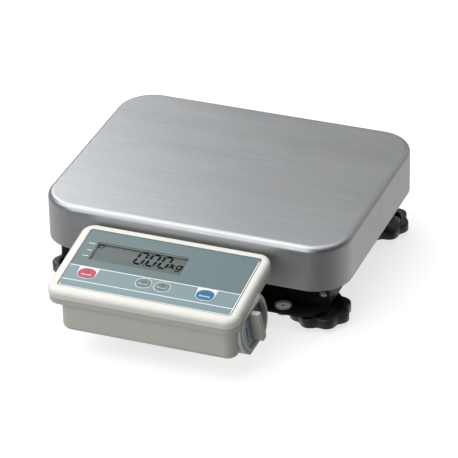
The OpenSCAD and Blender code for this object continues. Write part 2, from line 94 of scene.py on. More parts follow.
class Mat:
    """A principled material with small helpers for adding nodes."""

    def __init__(self, name, color, rough=0.5, metal=0.0):
        self.mat = bpy.data.materials.new(name)
        self.mat.use_nodes = True
        self.tree = self.mat.node_tree
        self.bsdf = self.tree.nodes["Principled BSDF"]
        self.set("Base Color", (*color, 1))
        self.set("Roughness", rough)
        self.set("Metallic", metal)
        # the last bump's normal, which the next bump starts from
        self.height = None

    def set(self, socket, value):
        self.bsdf.inputs[socket].default_value = value

    def node(self, kind, **settings):
        n = self.tree.nodes.new(kind)
        for key, value in settings.items():
            setattr(n, key, value)
        return n

    def link(self, a, b):
        self.tree.links.new(a, b)

    def place(self, scale=(1, 1, 1), rotate=(0, 0, 0)):
        coord = self.node("ShaderNodeTexCoord")
        mapping = self.node("ShaderNodeMapping")
        mapping.inputs["Scale"].default_value = scale
        mapping.inputs["Rotation"].default_value = rotate
        self.link(coord.outputs["Object"], mapping.inputs["Vector"])
        return mapping.outputs["Vector"]

    def noise(self, vector, scale, detail=2.0, rough=0.5):
        n = self.node("ShaderNodeTexNoise")
        n.inputs["Scale"].default_value = scale
        n.inputs["Detail"].default_value = detail
        n.inputs["Roughness"].default_value = rough
        self.link(vector, n.inputs["Vector"])
        return n.outputs["Fac"]

    def ramp(self, value, lo, hi, out_lo, out_hi):
        n = self.node("ShaderNodeMapRange")
        n.inputs["From Min"].default_value = lo
        n.inputs["From Max"].default_value = hi
        n.inputs["To Min"].default_value = out_lo
        n.inputs["To Max"].default_value = out_hi
        self.link(value, n.inputs["Value"])
        return n.outputs["Result"]

    def mix(self, fac, a, b):
        n = self.node("ShaderNodeMix", data_type="RGBA")
        if isinstance(fac, float):
            n.inputs["Factor"].default_value = fac
        else:
            self.link(fac, n.inputs["Factor"])
        for key, value in (("A", a), ("B", b)):
            socket = [s for s in n.inputs if s.name == key and s.type == "RGBA"][0]
            if isinstance(value, tuple):
                socket.default_value = (*value, 1)
            else:
                self.link(value, socket)
        return [s for s in n.outputs if s.type == "RGBA"][0]

    def math(self, op, a, b):
        n = self.node("ShaderNodeMath", operation=op)
        for i, value in enumerate((a, b)):
            if isinstance(value, (int, float)):
                n.inputs[i].default_value = value
            else:
                self.link(value, n.inputs[i])
        return n.outputs[0]

    def bump(self, height, strength, distance):
        n = self.node("ShaderNodeBump")
        n.inputs["Strength"].default_value = strength
        n.inputs["Distance"].default_value = distance
        self.link(height, n.inputs["Height"])
        if self.height is not None:
            self.link(self.height, n.inputs["Normal"])
        self.height = n.outputs["Normal"]
        self.link(self.height, self.bsdf.inputs["Normal"])

    def color(self, value):
        self.link(value, self.bsdf.inputs["Base Color"])

    def rough(self, value):
        self.link(value, self.bsdf.inputs["Roughness"])


def shade(color, k):
    """A colour made lighter or darker by k."""
    return tuple(min(1.0, c * k) for c in color)


def plastic(name, color, rough=0.45, grain=0.00025, depth=0.00003, mottle=0.05):
    """Moulded plastic: fine spark-eroded grain, a slight mottle and uneven gloss."""
    m = Mat(name, color, rough)
    where = m.place()
    broad = m.noise(where, 22.0, 3.0)
    fine = m.noise(where, 0.6 / grain, 2.0)
    m.color(m.mix(broad, shade(color, 1 - mottle), shade(color, 1 + mottle)))
    m.rough(m.ramp(fine, 0.3, 0.7, rough - 0.07, rough + 0.07))
    m.bump(fine, 0.35, depth)
    return m.mat


def paint(name, color, rough=0.42):
    """Powder coat: soft orange peel, fine specks and lighter rubbed patches."""
    m = Mat(name, color, rough)
    where = m.place()
    m.set("Specular IOR Level", 0.22)
    peel = m.noise(where, 420.0, 2.0)
    speck = m.noise(where, 2600.0, 1.0)
    wear = m.noise(where, 14.0, 4.0, 0.65)
    m.color(m.mix(m.ramp(wear, 0.52, 0.78, 0.0, 0.5), color, shade(color, 2.2)))
    m.rough(m.ramp(wear, 0.3, 0.75, rough - 0.06, rough + 0.14))
    m.bump(peel, 0.4, 0.00012)
    m.bump(speck, 0.25, 0.00003)
    return m.mat


def zinc(name, color=(0.62, 0.63, 0.65), rough=0.28):
    """Bright plating with faint turning marks and dull patches."""
    m = Mat(name, color, rough, 1.0)
    where = m.place((900, 900, 2500))
    fine = m.noise(where, 1.0, 2.0)
    broad = m.noise(m.place(), 90.0, 3.0)
    m.color(m.mix(broad, shade(color, 0.8), shade(color, 1.12)))
    m.rough(m.ramp(broad, 0.3, 0.7, rough - 0.07, rough + 0.16))
    m.bump(fine, 0.2, 0.00003)
    return m.mat


def rubber(name, color=(0.025, 0.025, 0.026)):
    """Matt rubber with dusty patches."""
    m = Mat(name, color, 0.75)
    where = m.place()
    dust = m.noise(where, 35.0, 4.0, 0.6)
    fine = m.noise(where, 1800.0, 2.0)
    m.color(m.mix(m.ramp(dust, 0.45, 0.8, 0.0, 0.6), color, (0.06, 0.058, 0.055)))
    m.rough(m.ramp(dust, 0.3, 0.7, 0.68, 0.86))
    m.bump(fine, 0.4, 0.00005)
    return m.mat


def brushed(name):
    """Stainless sheet brushed along its long side, the streaks turned to lie level on the side walls."""
    m = Mat(name, (0.6, 0.61, 0.62), 0.34, 1.0)
    along_x = m.place((9, 700, 700))
    along_y = m.place((700, 9, 700))
    normal = m.node("ShaderNodeNewGeometry").outputs["Normal"]
    split = m.node("ShaderNodeSeparateXYZ")
    m.link(normal, split.inputs[0])
    side = m.ramp(m.math("ABSOLUTE", split.outputs[0], 0.0), 0.66, 0.76, 0.0, 1.0)

    def streaks(scale, detail):
        a = m.noise(along_x, scale, detail)
        b = m.noise(along_y, scale, detail)
        n = m.node("ShaderNodeMix", data_type="FLOAT")
        m.link(side, n.inputs[0])
        m.link(a, n.inputs[2])
        m.link(b, n.inputs[3])
        return n.outputs[0]

    fine = streaks(4.0, 2.0)
    coarse = streaks(1.3, 3.0)
    cloud = m.noise(m.place((1.5, 6, 6)), 3.0, 3.0)
    dark, light = (0.405, 0.42, 0.434), (0.502, 0.514, 0.526)
    tone = m.mix(m.ramp(coarse, 0.3, 0.7, 0.0, 1.0), dark, light)
    m.color(m.mix(m.ramp(cloud, 0.3, 0.7, 0.0, 0.35), tone, (0.47, 0.485, 0.5)))
    gloss = m.ramp(fine, 0.25, 0.75, 0.33, 0.45)
    m.rough(m.math("ADD", gloss, m.ramp(cloud, 0.3, 0.7, 0.0, 0.04)))
    m.bump(coarse, 0.2, 0.00005)
    m.bump(fine, 0.3, 0.00002)
    return m.mat


def milled(name, color=(0.7, 0.71, 0.73)):
    """Bare alloy with fine cutter marks."""
    m = Mat(name, color, 0.35, 1.0)
    fine = m.noise(m.place((60, 2200, 900)), 1.0, 2.0)
    m.color(m.mix(fine, shade(color, 0.85), shade(color, 1.08)))
    m.rough(m.ramp(fine, 0.3, 0.7, 0.28, 0.44))
    m.bump(fine, 0.3, 0.00003)
    return m.mat


def glassy(name, color, alpha, rough=0.06):
    """Clear window: mostly see-through, with a faint uneven haze in its gloss."""
    m = Mat(name, color, rough)
    m.set("Alpha", alpha)
    m.set("Specular IOR Level", 0.12)
    haze = m.noise(m.place(), 60.0, 3.0)
    m.rough(m.ramp(haze, 0.3, 0.7, rough, rough + 0.08))
    m.mat.blend_method = "BLEND"
    return m.mat


def printed(name, color, rough=0.38, mottle=0.02):
    """Screen-printed polyester: very fine velvet grain."""
    m = Mat(name, color, rough)
    where = m.place()
    fine = m.noise(where, 3800.0, 1.0)
    broad = m.noise(where, 18.0, 2.0)
    m.color(m.mix(broad, shade(color, 1 - mottle), shade(color, 1 + mottle)))
    m.rough(m.ramp(fine, 0.3, 0.7, rough - 0.05, rough + 0.08))
    m.bump(fine, 0.2, 0.00001)
    return m.mat


IVORY = (0.79, 0.79, 0.73)
SHELL = (0.525, 0.552, 0.492)
MATS = {
    "pan_steel": brushed("brushed_stainless"),
    "black_rubber": rubber("black_rubber"),
    "frame_paint": paint("black_powder_coat", (0.011, 0.012, 0.013)),
    "cell_alloy": milled("milled_alloy"),
    "spacer_alloy": milled("milled_alloy_dark", (0.58, 0.59, 0.61)),
    "zinc": zinc("zinc_plate"),
    "bright_screw": zinc("bright_nickel", (0.82, 0.82, 0.8), 0.2),
    "potting": plastic("white_potting", (0.74, 0.73, 0.68), 0.6),
    "level_body": plastic("level_grey", (0.6, 0.64, 0.65), 0.4),
    "level_liquid": printed("level_liquid", (0.85, 0.9, 0.9), 0.2),
    "clear_glass": glassy("clear_window", (0.02, 0.022, 0.024), 0.04),
    "ivory_shell": plastic("ivory_shell_plastic", SHELL, 0.5),
    "ivory_cover": plastic("ivory_cover_plastic", IVORY, 0.48),
    "face_print": printed("face_upper_zone", (0.114, 0.174, 0.186)),
    "lcd_grey": printed("lcd_grey", (0.088, 0.118, 0.116), 0.3, 0.04),
    "board_green": printed("solder_mask", (0.02, 0.12, 0.05), 0.35, 0.1),
    "chip_black": plastic("chip_black", (0.02, 0.02, 0.022), 0.5),
    "key_red": printed("key_red", (0.53, 0.048, 0.102), 0.42, 0.03),
    "key_grey": printed("key_grey", (0.16, 0.226, 0.231), 0.42, 0.03),
    "key_blue": printed("key_blue", (0.003, 0.16, 0.36), 0.42, 0.03),
    "black_plastic": plastic("black_plastic", (0.025, 0.025, 0.027), 0.45),
    "cell_jacket": printed("cell_jacket", (0.5, 0.34, 0.08), 0.3, 0.08),
    "ivory_cap": plastic("ivory_cap_plastic", (0.46, 0.482, 0.43), 0.5),
    "cap_blue_grey": plastic("cap_blue_grey", (0.52, 0.60, 0.70), 0.45),
    "knob_black": plastic("knob_black", (0.019, 0.021, 0.022), 0.38, 0.0004, 0.00005, 0.2),
}
PRINT_LIGHT = printed("face_lower_zone", (0.196, 0.291, 0.315))
PRINT_WHITE = printed("face_white", (0.82, 0.84, 0.82))
PRINT_DARK = printed("face_dark", (0.03, 0.04, 0.045))
# painted shade: a dark olive colour standing in for the shade in the groove between the face sheet and the cover
GROOVE_SHADE = printed("groove_shade", (0.09, 0.085, 0.06), 0.6)
SEGMENT = printed("lcd_segment", (0.006, 0.008, 0.0075), 0.5)
SEGMENT.node_tree.nodes["Principled BSDF"].inputs["Specular IOR Level"].default_value = 0.02
# painted shade: a near-black colour for the display window's inner wall, where the recess lies in shade
WINDOW_SHADE = printed("window_shade", (0.06, 0.068, 0.062), 0.6)

# a little light of its own, so that the liquid reads light in the shade under the pan
liquid = MATS["level_liquid"].node_tree.nodes["Principled BSDF"]
liquid.inputs["Emission Color"].default_value = (0.8, 0.85, 0.86, 1)
liquid.inputs["Emission Strength"].default_value = 0.13

for row in RECORD["subparts"]:
    obj = NODES[row["node"]]
    obj.data.materials.clear()
    obj.data.materials.append(MATS[row["material_slot"]])

# ---------------------------------------------------------------- mesh building


def mesh(name, verts, faces, material, body, smooth=True, sharp=35):
    """A piece that rides on a body; edges steeper than sharp degrees stay crisp."""
    data = bpy.data.meshes.new(name)
    data.from_pydata([tuple(v) for v in verts], [], faces)
    data.validate()
    data.materials.append(material)
    obj = bpy.data.objects.new(name, data)
    bpy.context.scene.collection.objects.link(obj)
    if smooth:
        data.polygons.foreach_set("use_smooth", [True] * len(data.polygons))
        data.set_sharp_from_angle(angle=math.radians(sharp))
    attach(obj, body)
    return obj


def stacked(rings, closed=False):
    """Vertices and faces of rings with the same number of points, joined in order; capped unless closed."""
    n = len(rings[0])
    verts = [p for ring in rings for p in ring]
    faces = []
    last = len(rings) if closed else len(rings) - 1
    for k in range(last):
        a, b = k * n, (k + 1) % len(rings) * n
        for i in range(n):
            j = (i + 1) % n
            faces.append((a + i, a + j, b + j, b + i))
    if not closed:
        faces.append(tuple(reversed(range(n))))
        faces.append(tuple(range((len(rings) - 1) * n, len(rings) * n)))
    return verts, faces


def rounded(w, d, r, steps=8):
    """Points round a rounded rectangle, anticlockwise."""
    out = []
    for sx, sy, start in ((1, 1, 0), (-1, 1, 90), (-1, -1, 180), (1, -1, 270)):
        for i in range(steps + 1):
            a = math.radians(start + 90 * i / steps)
            out.append((sx * (w / 2 - r) + r * math.cos(a), sy * (d / 2 - r) + r * math.sin(a)))
    return out


OVAL_POWER = 2.3


def oval(w, d, steps=48, power=OVAL_POWER):
    """Points round an oval: power 2 is an ellipse, more is squarer."""
    out = []
    for i in range(steps):
        a = 2 * math.pi * i / steps
        c, s = math.cos(a), math.sin(a)
        x = math.copysign(abs(c) ** (2 / power), c) * w / 2
        y = math.copysign(abs(s) ** (2 / power), s) * d / 2
        out.append((x, y))
    return out


def oval_towards(pts, w, d, power=OVAL_POWER):
    """The points of an oval that lie in the directions of the given points."""
    out = []
    for x, y in pts:
        r = (abs(x / (w / 2)) ** power + abs(y / (d / 2)) ** power) ** (-1 / power)
        out.append((x * r, y * r))
    return out


def arc(cx, cy, r, a0, a1, n=16, ry=None):
    """Points along an arc from a0 to a1 degrees, with its own radius in y where ry is given."""
    ry = r if ry is None else ry
    angles = [math.radians(a0 + (a1 - a0) * i / n) for i in range(n + 1)]
    return [(cx + r * math.cos(a), cy + ry * math.sin(a)) for a in angles]


def sides(pts, thick, closed=False):
    """Both edges of a line of even thickness along pts, the right-hand edge first."""
    right_side, left_side = [], []
    n = len(pts)
    for i, p in enumerate(pts):
        a = Vector(pts[(i - 1) % n] if closed or i else pts[0])
        b = Vector(pts[(i + 1) % n] if closed or i < n - 1 else pts[-1])
        along = (b - a).normalized()
        across = Vector((-along.y, along.x)) * thick / 2
        left_side.append((p[0] + across.x, p[1] + across.y))
        right_side.append((p[0] - across.x, p[1] - across.y))
    return right_side, left_side


def lay(outline, z, at=(0, 0), matrix=FACE):
    """An outline in millimetres as points in the row frame, z above the plane of the matrix."""
    return [matrix @ Vector(((at[0] + x) * MM, (at[1] + y) * MM, z * MM)) for x, y in outline]


def plate(name, outline, z0, z1, material, body, slot=None, at=(0, 0), matrix=FACE):
    """A thin flat piece: an outline round at, in millimetres, from z0 to z1."""
    verts, faces = stacked([lay(outline, z, at, matrix) for z in (z0, z1)])
    return mesh(name, verts, faces, material, body, smooth=False)


def ring_plate(name, outer, inner, z0, z1, material, body, slot=None, at=(0, 0), matrix=FACE):
    """A flat ring between two outlines with the same number of points."""
    section = ((outer, z0), (outer, z1), (inner, z1), (inner, z0))
    verts, faces = stacked([lay(outline, z, at, matrix) for outline, z in section], closed=True)
    return mesh(name, verts, faces, material, body, smooth=False)


def box_of(node):
    """Lowest and highest corner of a node, in face millimetres."""
    inv = FACE.inverted()
    pts = [inv @ v.co for v in NODES[node].data.vertices]
    lo = [min(p[i] for p in pts) / MM for i in range(3)]
    hi = [max(p[i] for p in pts) / MM for i in range(3)]
    return lo, hi


def turned(profile, centre, steps=48):
    """Rings of a turned piece from (radius, height) pairs in metres."""
    angles = [2 * math.pi * i / steps for i in range(steps)]
    return [[Vector((centre.x + p * math.cos(a), centre.y + p * math.sin(a), q)) for a in angles]
            for p, q in profile]


# ---------------------------------------------------------------- printed face

sheet_lo, sheet_hi = box_of("face_sheet")
W_SHEET = sheet_hi[0] - sheet_lo[0]
D_SHEET = -sheet_lo[1]
SHEET_MID = (0, -D_SHEET / 2)
# distances of the two white lines from the sheet's rear edge
LINE_1, LINE_2 = 67.0, 93.2
# heights of the print above the sheet, and of what lies on it
PRINT_T = 0.05
FIELD_Z = (PRINT_T, PRINT_T + 0.03)
LINE_Z = (PRINT_T, PRINT_T + 0.04)
# height of the painted highlight, a white line where the sheet's bevelled front and right edges catch the light
EDGE_HIGHLIGHT_Z = (PRINT_T, PRINT_T + 0.06)


def lower_zone():
    """Outline of the lighter zone: square at the top line, rounded at the sheet's front corners."""
    edge, r = 0.1, 3.9
    w = W_SHEET / 2 - edge
    pts = [(w, -LINE_1), (-w, -LINE_1)]
    for cx, start in ((-w + r, 180), (w - r, 270)):
        for i in range(7):
            a = math.radians(start + 90 * i / 6)
            pts.append((cx + r * math.cos(a), -D_SHEET + edge + r + r * math.sin(a)))
    return pts


key_boxes = {k: box_of("key_" + k) for k in ("power", "mode", "print", "zero")}


def key_place(k):
    """Middle of a key in the face plane, and the size of its top without the hidden flange."""
    lo, hi = key_boxes[k]
    flange = 1.5
    middle = ((lo[0] + hi[0]) / 2, (lo[1] + hi[1]) / 2)
    return middle, (hi[0] - lo[0] - 2 * flange, hi[1] - lo[1] - 2 * flange)


def zone_with_keys():
    """The lighter zone as a mesh with real oval openings round the four keys."""
    bm = bmesh.new()
    loops = [lay(lower_zone(), PRINT_T)]
    for k in key_boxes:
        at, (w, d) = key_place(k)
        loops.append(lay(oval(w + 1.4, d + 1.4), PRINT_T, at))
    edges = []
    for loop in loops:
        ring = [bm.verts.new(p) for p in loop]
        edges += [bm.edges.new((ring[i], ring[(i + 1) % len(ring)])) for i in range(len(ring))]
    bmesh.ops.triangle_fill(bm, use_beauty=True, edges=edges)
    data = bpy.data.meshes.new("face_zone_low")
    bm.to_mesh(data)
    bm.free()
    data.materials.append(PRINT_LIGHT)
    obj = bpy.data.objects.new("face_zone_low", data)
    bpy.context.scene.collection.objects.link(obj)
    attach(obj, "base")


def on_face(name, outline, heights, material, at=(0, 0)):
    """A printed plate that stays with the face sheet."""
    plate(name, outline, *heights, material, "base", "face_print", at)


def ring_on_face(name, outer, inner, heights, material, at=(0, 0)):
    """A printed ring that stays with the face sheet."""
    ring_plate(name, outer, inner, *heights, material, "base", "face_print", at)


zone_with_keys()


def edge_line_outline(wide, gap):
    """A line along the front and the right side of the sheet, its outer edge gap inside the sheet's."""
    half_w, half_d = W_SHEET / 2 - gap, D_SHEET / 2 - gap
    radius = 3.6
    # the first two corners of the rounded rectangle are the rear ones; the line has only the front two
    front = slice(18, None)
    outer = rounded(2 * half_w, 2 * half_d, radius)[front]
    inner = rounded(2 * (half_w - wide), 2 * (half_d - wide), radius - wide)[front]
    return outer + [(half_w, half_d - 4), (half_w - wide, half_d - 4)] + inner[::-1]


# painted highlight: a white line along the sheet's front and right edges, standing in for the light caught by its
# bevelled edge
on_face("face_edge_highlight", edge_line_outline(1.2, 1.1), EDGE_HIGHLIGHT_Z, PRINT_WHITE, SHEET_MID)
# painted shade: a dark line outside the white one along the front and right, and a dark ring round the whole
# sheet, where the groove lies in shade
on_face("groove_shade_front", edge_line_outline(1.4, -0.2), LINE_Z, GROOVE_SHADE, SHEET_MID)
ring_on_face("groove_shade", rounded(W_SHEET + 0.55, D_SHEET + 0.55, 4.0),
             rounded(W_SHEET - 0.2, D_SHEET - 0.2, 3.8), (-0.3, PRINT_T + 0.03), GROOVE_SHADE, SHEET_MID)
line_end, line_half = W_SHEET / 2 - 0.6, 0.65
for name, v in (("face_line_upper", LINE_1), ("face_line_lower", LINE_2)):
    on_face(name, [(-line_end, -v - line_half), (line_end, -v - line_half),
                   (line_end, -v + line_half), (-line_end, -v + line_half)], LINE_Z, PRINT_WHITE)


def tab_outline(w, d, rise, wide, steps=24):
    """White field behind a key: an oval below, carried up to the line with square corners."""
    pts = []
    for i in range(steps + 1):
        a = math.pi + math.pi * i / steps
        pts.append((math.cos(a) * w / 2, math.sin(a) * d / 2))
    corners = [(w / 2, 0), (wide / 2, rise), (-wide / 2, rise), (-w / 2, 0)]
    for (x0, y0), (x1, y1), cuts in zip(corners, corners[1:], (6, 16, 6)):
        pts += [(x0 + (x1 - x0) * i / cuts, y0 + (y1 - y0) * i / cuts) for i in range(1, cuts + 1)]
    return pts[:-1]


for k in ("power", "zero"):
    at, (w, d) = key_place(k)
    outer = tab_outline(w + 2.2, d + 2.2, -LINE_1 - at[1], w + 3.6)
    ring_on_face("tab_" + k, outer, oval_towards(outer, w + 0.4, d + 0.4), FIELD_Z, PRINT_WHITE, at)
for k in ("mode", "print"):
    at, (w, d) = key_place(k)
    ring_on_face("ring_" + k, oval(w + 2.3, d + 2.3), oval(w + 0.8, d + 0.8), LINE_Z, PRINT_WHITE, at)

# pointers beside the display
win_lo, win_hi = box_of("lcd_panel")
LCD_AT = ((win_lo[0] + win_hi[0]) / 2, (win_lo[1] + win_hi[1]) / 2)
LCD_W, LCD_D = win_hi[0] - win_lo[0] - 8, win_hi[1] - win_lo[1] - 9
lcd_left = LCD_AT[0] - LCD_W / 2
lcd_rear = LCD_AT[1] + LCD_D / 2
for i, (drop, wide) in enumerate(((4.6, 8.0), (17.0, 5.2), (27.5, 7.0))):
    on_face(f"pointer_{i}", [(-wide, -0.55), (-0.4, -0.55), (0.9, 0), (-0.4, 0.55), (-wide, 0.55)],
            (0.0, PRINT_T), PRINT_WHITE, (lcd_left - 2.6, lcd_rear - drop))

# ---------------------------------------------------------------- display

LCD_TOP = win_hi[2]
# painted shade: a thin dark ring over the wall of the display window, standing in for the shade inside the recess
ring_plate("window_shade_ring", rounded(LCD_W - 1.04, LCD_D - 1.04, 1.0), rounded(LCD_W - 1.5, LCD_D - 1.5, 0.8),
           LCD_TOP + 0.02, LCD_TOP + 0.88, WINDOW_SHADE, "base", "lcd_grey", LCD_AT)
SLANT = 0.17
SEG_Z = (LCD_TOP + 0.02, LCD_TOP + 0.10)
DIGIT_W, DIGIT_H, PITCH = 9.4, 20.8, 15.1
SEG_WIDE, POINT_X = 3.1, 12.6
DIGIT_AT = (LCD_AT[0] - 5.4, LCD_AT[1] - DIGIT_H / 2 + 3.6)


def slanted(points, at):
    """Points leaned over with the digits and moved to at."""
    return [(at[0] + (x + SLANT * y), at[1] + y) for x, y in points]


def lit(name, points, at):
    """A dark shape on the display, slanted like the digits."""
    plate(name, slanted(points, at), *SEG_Z, SEGMENT, "base", "lcd_grey")


def digit_zero(name, at):
    """The six lit segments of a zero, with its lower left corner at at."""
    half, h = SEG_WIDE / 2, DIGIT_H / 2
    gap = 0.35
    near, far = gap + 0.25 * half, gap + half

    def across(y):
        return [(near, y), (far, y + half), (DIGIT_W - far, y + half), (DIGIT_W - near, y),
                (DIGIT_W - far, y - half), (far, y - half)]

    def upright(x, y0):
        return [(x, y0 + near), (x + half, y0 + far), (x + half, y0 + h - far), (x, y0 + h - near),
                (x - half, y0 + h - far), (x - half, y0 + far)]

    segments = (("a", across(DIGIT_H)), ("b", upright(DIGIT_W, h)), ("c", upright(DIGIT_W, 0)),
                ("d", across(0)), ("e", upright(0, 0)), ("f", upright(0, h)))
    for letter, shape in segments:
        lit(f"{name}_{letter}", shape, at)


for i in range(3):
    digit_zero(f"digit_{i}", (DIGIT_AT[0] + i * PITCH, DIGIT_AT[1]))
lit("decimal_point", [(-1, -1), (1, -1), (1, 1), (-1, 1)], (DIGIT_AT[0] + POINT_X, DIGIT_AT[1] - 0.2))


def stroke(name, pts, thick, at):
    """An open line of even thickness laid flat on the display."""
    right_side, left_side = sides(pts, thick)
    lit(name, right_side + left_side[::-1], at)


# the unit: the points of the g are drawn far enough to the right to stand beside the k
k_at = (DIGIT_AT[0] + 3 * PITCH - 0.9, DIGIT_AT[1] + 2.1)
g_at = (k_at[0] - 0.5, k_at[1] + 0.5)
stroke("unit_k_stem", [(0, 0), (0, 9.6)], 2.4, k_at)
stroke("unit_k_up", [(0.6, 3.2), (4.4, 6.6)], 2.2, k_at)
stroke("unit_k_down", [(1.4, 4.2), (4.9, 0)], 2.2, k_at)
g_bowl = [(8.0 + 3.0 + 3.0 * math.cos(math.radians(a)), 3.6 + 3.2 * math.sin(math.radians(a)))
          for a in range(20, 341, 16)]
stroke("unit_g_bowl", g_bowl, 2.2, g_at)
stroke("unit_g_tail", [(14.0, 7.2), (14.0, -0.6), (13.2, -2.6), (11.0, -3.3), (8.6, -2.7)], 2.2, g_at)
ring_plate("stable_mark", oval(8.6, 6.6, power=2), oval(6.0, 4.0, power=2), *SEG_Z, SEGMENT,
           "base", "lcd_grey", (lcd_left + 4.8, lcd_rear - 4.6))

# ---------------------------------------------------------------- keys


def key_top(k, slot):
    """Crowned oval key in place of the plain CAD key, with its hidden flange."""
    at, (w, d) = key_place(k)
    lo, hi = key_boxes[k]
    bottom, top = lo[2], hi[2]
    levels = [(bottom, w + 2.6, d + 2.6), (bottom + 1, w + 2.6, d + 2.6), (bottom + 1, w, d),
              (top - 0.35, w, d), (top - 0.15, w - 0.35, d - 0.35), (top - 0.03, w - 1.2, d - 1.2),
              (top, w - 4, d - 4), (top, w * 0.4, d * 0.4)]
    verts, faces = stacked([lay(oval(wide, deep), z, at) for z, wide, deep in levels])
    obj = mesh("keytop_" + k, verts, faces, MATS[slot], k + "_key", sharp=50)
    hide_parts("key_" + k)
    return at, top


def icon(name, key, pts, thick, material, closed=False):
    """A flat line printed on a key."""
    at, top = key_tops[key]
    right_side, left_side = sides(pts, thick, closed)
    z0, z1 = top - 0.02, top + 0.04
    if closed:
        ring_plate(name, right_side, left_side, z0, z1, material, key + "_key", None, at)
    else:
        plate(name, right_side + left_side[::-1], z0, z1, material, key + "_key", None, at)


def legend(key, material, y, widths, thick):
    """Short plain bars in a row on a key."""
    gap = 0.7
    start = -(sum(widths) + gap * (len(widths) - 1)) / 2
    for i, wide in enumerate(widths):
        icon(f"legend_{key}_{i}", key, [(start, y), (start + wide, y)], thick, material)
        start += wide + gap


key_tops = {}
SWOOSH = arc(0, 1.4, 5.8, 205, 335, 16, 3.6)

key_tops["power"] = key_top("power", "key_red")
icon("icon_power_ring", "power", arc(0, 2.2, 2.6, -230, 50), 1.0, PRINT_DARK)
icon("icon_power_bar", "power", [(0, 2.2), (0, 5.2)], 1.0, PRINT_DARK)
legend("power", PRINT_WHITE, -2.6, (1.6, 2.3, 1.3, 2.2, 1.8), 1.5)

key_tops["mode"] = key_top("mode", "key_grey")
icon("icon_mode_ring", "mode", arc(0, 1.7, 2.1, 0, 337.5, 15), 0.95, PRINT_DARK, True)
icon("icon_mode_left", "mode", [(-4.8, 1.7), (-3.1, 1.7)], 0.95, PRINT_DARK)
icon("icon_mode_right", "mode", [(3.1, 1.7), (4.8, 1.7)], 0.95, PRINT_DARK)
icon("icon_mode_swoosh", "mode", SWOOSH, 0.6, PRINT_WHITE)
legend("mode", PRINT_DARK, -4.0, (1.5, 1.9, 1.4), 1.0)

key_tops["print"] = key_top("print", "key_grey")
icon("icon_print_box", "print", [(-3.4, -0.4), (3.4, -0.4), (3.4, 2.2), (-3.4, 2.2)], 0.9, PRINT_DARK, True)
icon("icon_print_sheet", "print", [(-2.0, 2.6), (-2.0, 4.3), (2.0, 4.3), (2.0, 2.6)], 0.9, PRINT_DARK)
icon("icon_print_swoosh", "print", SWOOSH, 0.6, PRINT_WHITE)
legend("print", PRINT_DARK, -4.0, (1.9, 1.4, 1.6), 1.0)

key_tops["zero"] = key_top("zero", "key_blue")
icon("icon_zero_ring", "zero", arc(0, 2.4, 1.5, 0, 337.5, 15, 2.1), 0.95, PRINT_DARK, True)
for sign, side in ((-1, "left"), (1, "right")):
    shaft = [(sign * 6.2, 2.4), (sign * 3.6, 2.4)]
    head = [(sign * 4.4, 3.8), (sign * 2.9, 2.4), (sign * 4.4, 1.0)]
    icon(f"icon_zero_shaft_{side}", "zero", shaft, 0.95, PRINT_DARK)
    icon(f"icon_zero_head_{side}", "zero", head, 0.9, PRINT_DARK)
legend("zero", PRINT_WHITE, -2.6, (1.9, 2.3, 1.4, 2.3, 1.7), 1.5)

# ---------------------------------------------------------------- levelling feet

LOBES = 8
LOBE_TIP, LOBE_VALLEY = 37.2 * MM, 32.8 * MM
# how far each knob is turned at rest, in degrees
LOBE_TURN = {"fr": 12.8, "fl": 34.0, "rr": -20.5, "rl": 0.0}
FEET = {"fr": "front_right", "fl": "front_left", "rr": "rear_right", "rl": "rear_left"}


def lobed(scale, blend, z, centre, turn, steps=192):
    """One ring of the knob: blend 1 is the full lobed outline, 0 a circle."""
    out = []
    for i in range(steps):
        a = 2 * math.pi * i / steps
        wave = (0.5 - 0.5 * math.cos(LOBES * (a - math.radians(turn)))) ** 0.7
        lobe = LOBE_VALLEY + (LOBE_TIP - LOBE_VALLEY) * wave
        r = (lobe * blend + (LOBE_VALLEY + LOBE_TIP) / 2 * (1 - blend)) * scale
        out.append(Vector((centre.x + r * math.cos(a), centre.y + r * math.sin(a), z)))
    return out


# rings of the knob as (scale, blend, part of the height): the hollow underside from the rim inwards,
# then the side wall, the flat rim, the recess and the hub
KNOB_UNDER = [(0.80, 0.9, 0.0), (0.74, 0.7, 0.05), (0.70, 0.3, 0.25), (0.30, 0, 0.25), (0.27, 0, 0.0),
              (0.19, 0, 0.0), (0.19, 0, 0.27)]
KNOB_OUTSIDE = [(0.94, 1, 0.0), (0.985, 1, 0.03), (1.0, 1, 0.08), (1.0, 1, 0.84), (0.993, 1, 0.93),
                (0.978, 1, 0.985), (0.958, 1, 1.0), (0.80, 0, 1.0), (0.788, 0, 0.985), (0.784, 0, 0.93),
                (0.775, 0, 0.45), (0.76, 0, 0.42), (0.36, 0, 0.42), (0.345, 0, 0.45), (0.335, 0, 0.85),
                (0.32, 0, 0.9), (0.155, 0, 0.9), (0.146, 0, 0.88), (0.146, 0, 0.35)]


def knob(corner):
    """Scalloped knob: upright side wall, flat rim, deep round recess with a hub, hollow underside."""
    node = "foot_knob_" + corner
    lo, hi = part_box(node)
    c = (lo + hi) / 2
    rings = [lobed(scale, blend, lo.z + (hi.z - lo.z) * part, c, LOBE_TURN[corner])
             for scale, blend, part in KNOB_UNDER[::-1] + KNOB_OUTSIDE]
    verts, faces = stacked(rings)
    body = "knob_" + FEET[corner]
    obj = mesh("knob_" + corner, verts, faces, MATS["knob_black"], body, sharp=48)
    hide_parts(node)


